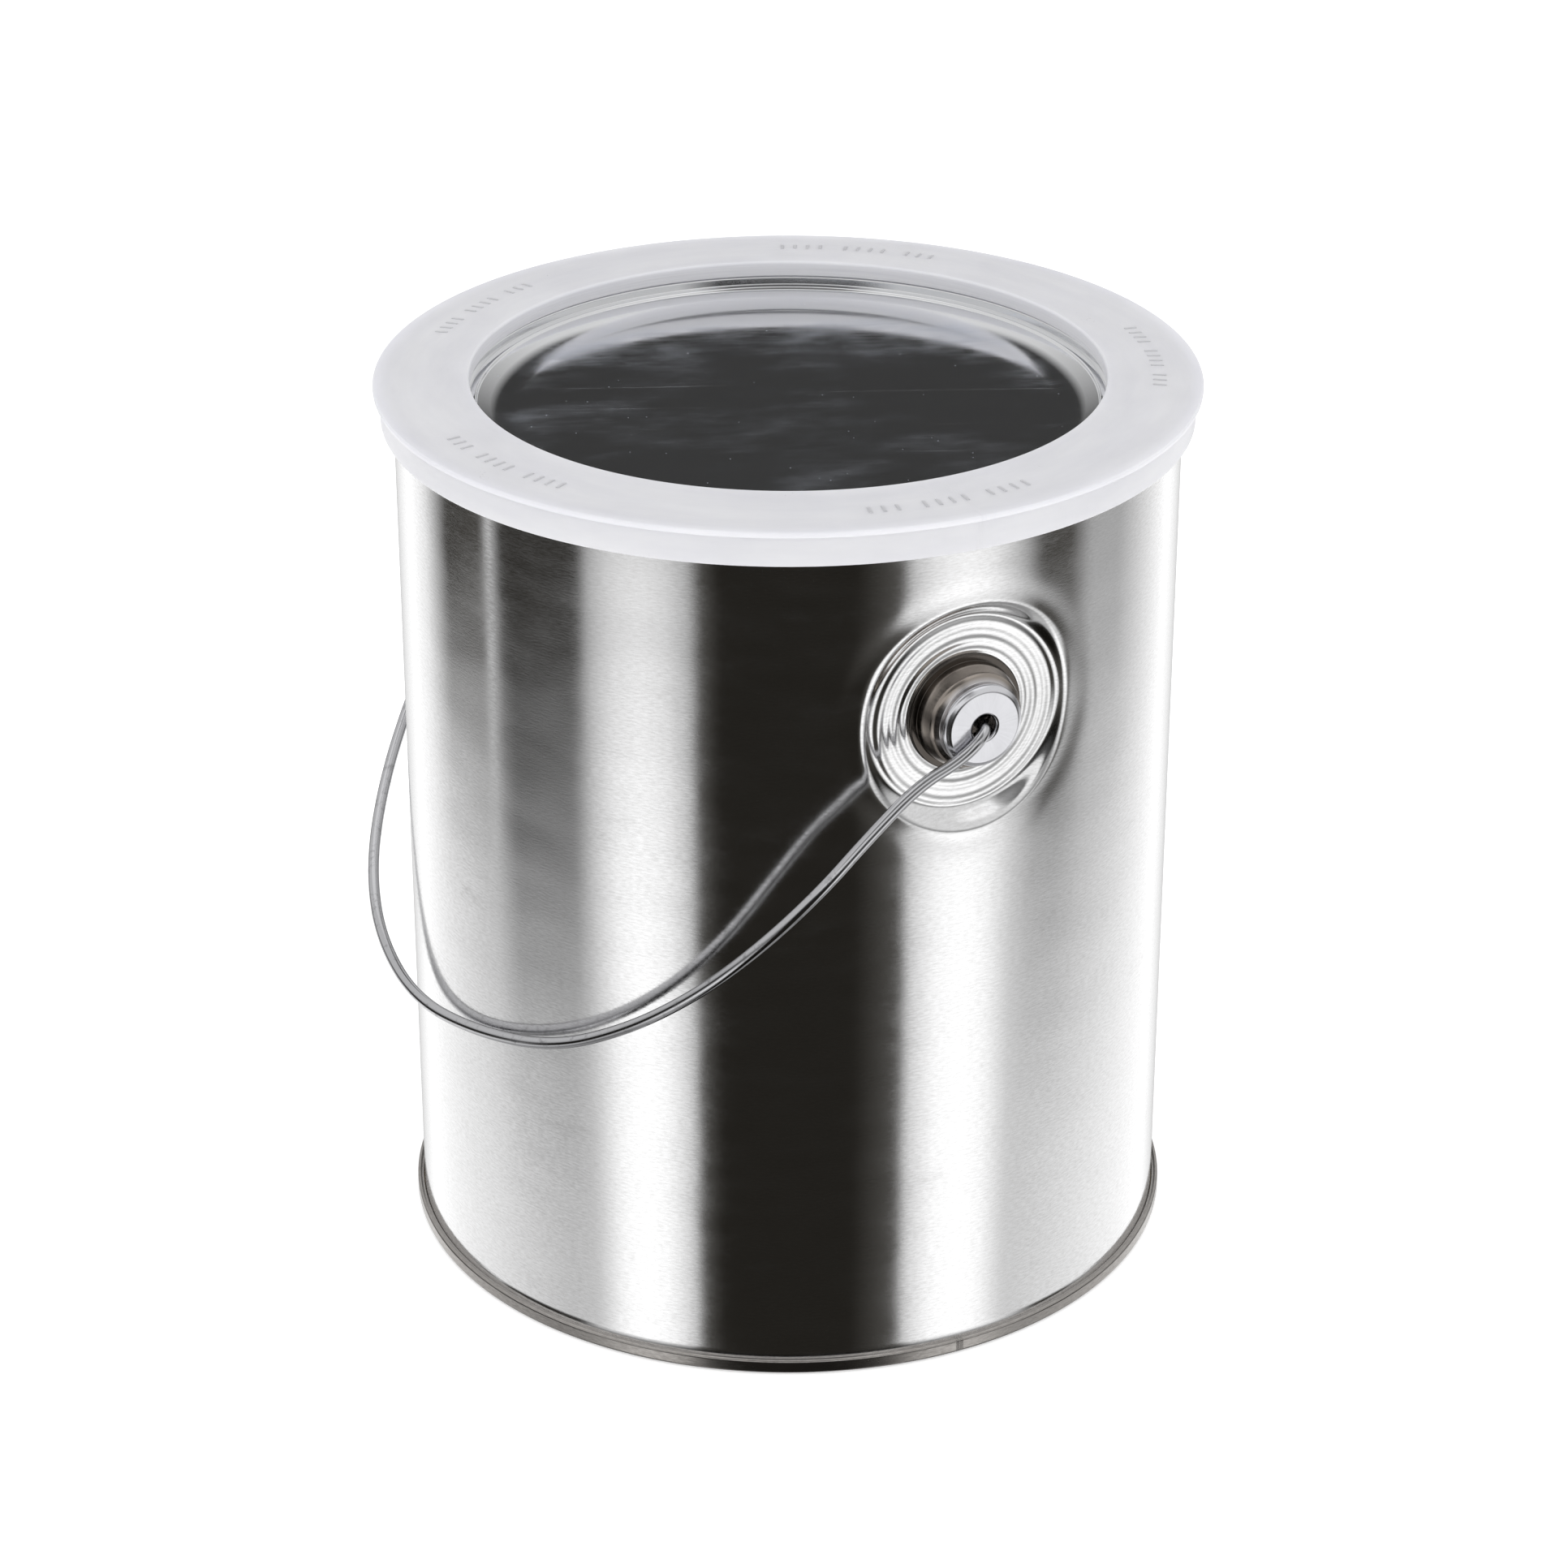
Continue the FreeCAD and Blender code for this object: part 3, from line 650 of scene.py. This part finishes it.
ring = turned("lock_ring_collar", closed_outline([
    (RING_HOLE, RING_TOP, 0.6), (BRIM_RADIUS, EDGE_TOP, 0.45),
    (BRIM_RADIUS - 0.1, EDGE_TOP - 1.15, 0.35), (SKIRT_RADIUS, EDGE_TOP - 1.4, 0.3),
    (SKIRT_RADIUS, RING_FOOT, 0.3), (SKIRT_BORE, RING_FOOT, 0.25), (SKIRT_BORE, EDGE_TOP - 1.1, 0.4),
    (77.6, RING_TOP - 1.5, 0.4), (77.6, 190.3, 0.3), (76.4, 190.3, 0.3),
    (76.4, RING_TOP - 1.5, 0.4), (RING_HOLE + 1.1, RING_TOP - 1.4, 0.6),
    (RING_HOLE + 1.1, 191.0, 0.3), (RING_HOLE, 191.0, 0.3)]), 360)
raise_dashes(ring)
ring.data.materials.append(ring_plastic())
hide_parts("lock_ring")
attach(ring, "lock_ring")

# ================================================================ studio
# A pale floor and a soft set all round: two tall soft boxes with a dark gap between them toward
# the camera, pale sides, and a dark patch behind above the rim that blackens the flat lid.
CAMERA_AZIMUTH = math.radians(63.54)
CAMERA_DISTANCE = 859.6 * MM
CAMERA_HEIGHT = 521.1 * MM
CAMERA_PITCH = math.radians(26.231)
CAMERA_YAW = math.radians(0.057)
LENS_LENGTH = 100.58
SENSOR_WIDTH = 36
FLOOR_HALF = 3.0
FLOOR_DROP = 0.2 * MM
DAYLIGHT = (1.06, 1.06, 1.06, 1)

toward = (math.sin(CAMERA_AZIMUTH), -math.cos(CAMERA_AZIMUTH), 0.0)
rightward = (math.cos(CAMERA_AZIMUTH), math.sin(CAMERA_AZIMUTH), 0.0)

lens = bpy.data.cameras.new("camera")
lens.lens = LENS_LENGTH
lens.sensor_width = SENSOR_WIDTH
lens.clip_start = 0.05
camera = bpy.data.objects.new("camera", lens)
camera.location = (toward[0] * CAMERA_DISTANCE, toward[1] * CAMERA_DISTANCE, CAMERA_HEIGHT)
camera.rotation_euler = (math.pi / 2 - CAMERA_PITCH, 0, CAMERA_AZIMUTH + CAMERA_YAW)
bpy.context.scene.collection.objects.link(camera)
bpy.context.scene.camera = camera

floor_finish = Finish("floor", Roughness=0.9, Specular_IOR_Level=0.0, Emission_Strength=0.42)
floor_finish.shader.inputs["Emission Color"].default_value = (1, 1, 1, 1)
floor_grain = floor_finish.noise(floor_finish.place((30, 30, 30)), 3.0)
floor_finish.to("Base Color", floor_finish.tint(floor_grain, (0.93, 0.93, 0.93), (0.95, 0.95, 0.95)))
floor_corners = [(x * FLOOR_HALF, y * FLOOR_HALF, 0) for x, y in ((-1, -1), (1, -1), (1, 1), (-1, 1))]
floor = mesh_object("floor", floor_corners, [(0, 1, 2, 3)], None)
floor.location.z = -FLOOR_DROP
floor.data.materials.append(floor_finish.material)
floor.visible_glossy = False

# The set that the metal mirrors, by degrees round from the camera (left is negative). A pale
# wall stands behind, a soft box on either side and a black flag between the boxes. A soft box is
# its middle and its half width.
WALL_BRIGHTEST = 146
WALL_GLOW = 1.2
WALL_SEAM = 0.4
LEFT_BOX = (-44, 15.5)
RIGHT_BOX = (53, 17)
BOX_FALL = 0.45
BOX_EDGE = 2.5
FLAG_GLOW = 0.015
FLAG_RIM_GLOW = 0.07
FLAG_REACH = 20


def soft_box(middle_angle, half_width, level):
    """Stops across a soft box, which dims from its middle to its edges."""
    return [(middle_angle + share * half_width, level * (1 - BOX_FALL * share * share))
            for share in (-1, -0.5, 0, 0.5, 1)]


def set_round(left_level, right_level, left_side, right_side):
    """The set's brightness at one height, once round: wall, side, box, flag, box, side, wall."""
    left_box = soft_box(*LEFT_BOX, left_level)
    right_box = soft_box(*RIGHT_BOX, right_level)
    flag = [(left_box[-1][0] + BOX_EDGE, FLAG_RIM_GLOW), (-FLAG_REACH, FLAG_GLOW),
            (FLAG_REACH, FLAG_GLOW), (right_box[0][0] - BOX_EDGE, FLAG_RIM_GLOW)]
    return [(-180, WALL_SEAM), (-WALL_BRIGHTEST, WALL_GLOW), *left_side, *left_box, *flag,
            *right_box, *right_side, (WALL_BRIGHTEST, WALL_GLOW), (180, WALL_SEAM)]


# The sides are a plain wall at the foot, a grey card at the middle, and black cards at the top
# with a strip lamp in the left one.
FOOT = set_round(1.25, 1.25, [(-72, 0.6), (-62, 0.6)], [(74, 0.68)])
MIDDLE = set_round(1.15, 1.2, [(-98, 0.5), (-88, 0.15), (-66, 0.2)], [(77, 0.45), (86, 0.4)])
TOP = set_round(0.75, 1.0, [(-132, 0.9), (-118, 0.03), (-100, 0.05), (-97, 0.6), (-92, 0.02),
                            (-63, 0.02)], [(78, 0.04), (90, 0.05), (98, 0.4), (112, 0.4)])
RISING = [(-90, 0.02), (4, 0.8), (11, 0.045), (34, 0.036), (42, 0.8), (60, 1.0), (90, 1.0)]
RISING_ASIDE = [(-90, 0.3), (0, 0.4), (15, 0.72), (50, 0.72), (60, 1.0), (90, 1.0)]
RISING_AHEAD = [(-90, 0.02), (12, 0.05), (19, 0.9), (35, 0.9), (42, 0.12), (62, 0.3), (90, 1.0)]

world = bpy.data.worlds.new("studio")
bpy.context.scene.world = world
world.use_nodes = True
room = world.node_tree
room.nodes.clear()


def room_node(kind, inputs=(), **settings):
    made = room.nodes.new("ShaderNode" + kind)
    for key, value in settings.items():
        setattr(made, key, value)
    for socket, value in zip(made.inputs, inputs):
        if hasattr(value, "is_linked"):
            room.links.new(value, socket)
        elif value is not None:
            socket.default_value = value
    return made


def room_ramp(angle, stops, low, high, warm=0.0):
    """Brightness by an angle in degrees, from (angle, brightness) stops. The dark can be warm."""
    share = room_node("MapRange", (angle, math.radians(low), math.radians(high), 0.0, 1.0))
    ramp = room_node("ValToRGB", (share.outputs[0],))
    elements = ramp.color_ramp.elements
    while len(elements) < len(stops):
        elements.new(0.5)
    for element, (degrees, bright) in zip(elements, stops):
        element.position = (degrees - low) / (high - low)
        warmth = warm * max(0.0, 1 - 8 * bright)
        element.color = (bright * (1 + warmth), bright, bright * (1 - 1.6 * warmth), 1)
    return ramp.outputs["Color"]


def room_mix(amount, first, second):
    made = room.nodes.new("ShaderNodeMix")
    made.data_type = "RGBA"
    for socket, value in ((0, amount), (6, first), (7, second)):
        if hasattr(value, "is_linked"):
            room.links.new(value, made.inputs[socket])
        else:
            made.inputs[socket].default_value = value
    return made.outputs[2]


heading = room_node("TexCoord").outputs["Generated"]
ahead = room_node("VectorMath", (heading, toward), operation="DOT_PRODUCT").outputs["Value"]
aside = room_node("VectorMath", (heading, rightward), operation="DOT_PRODUCT").outputs["Value"]
height = room_node("SeparateXYZ", (heading,)).outputs["Z"]
azimuth = room_node("Math", (aside, ahead), operation="ARCTAN2").outputs[0]
elevation = room_node("Math", (height,), operation="ARCSINE").outputs[0]
foot = room_ramp(azimuth, FOOT, -180, 180, 0.12)
middle = room_ramp(azimuth, MIDDLE, -180, 180, 0.12)
top_of_set = room_ramp(azimuth, TOP, -180, 180, 0.12)
rising = room_ramp(elevation, RISING, -90, 90)
rising_aside = room_ramp(elevation, RISING_ASIDE, -90, 90)
rising_ahead = room_ramp(elevation, RISING_AHEAD, -90, 90)


def between(angle, low, high):
    """How far an angle has gone from low to high, in degrees."""
    share = room_node("MapRange", (angle, math.radians(low), math.radians(high), 0.0, 1.0))
    return share.outputs[0]


def dimmed(light, share, amount):
    """Light that loses that amount of itself as the share grows to one."""
    return room_mix(share, light, room_mix(amount, light, (0, 0, 0, 1)))


turned_away = room_node("Math", (azimuth,), operation="ABSOLUTE").outputs[0]
low_set = room_mix(between(elevation, -31, -27), foot, middle)
low_set = dimmed(low_set, between(elevation, -38, -50), 0.6)
high_set = room_mix(between(elevation, -27, -23.5), low_set, top_of_set)
high_set = dimmed(high_set, between(elevation, -20, -10), 0.65)
overhead = room_mix(between(turned_away, 25, 40), rising_ahead, rising_aside)
overhead = room_mix(between(turned_away, 165, 174), overhead, rising)
mirrored_set = room_mix(between(elevation, -4, 4), high_set, overhead)
ray = room_node("LightPath")
seen = room_mix(ray.outputs["Is Glossy Ray"], DAYLIGHT, mirrored_set)
glow = room_node("Background", (seen, 1.0))
out = room.nodes.new("ShaderNodeOutputWorld")
room.links.new(glow.outputs[0], out.inputs["Surface"])
bpy.context.scene.view_settings.view_transform = "Standard"
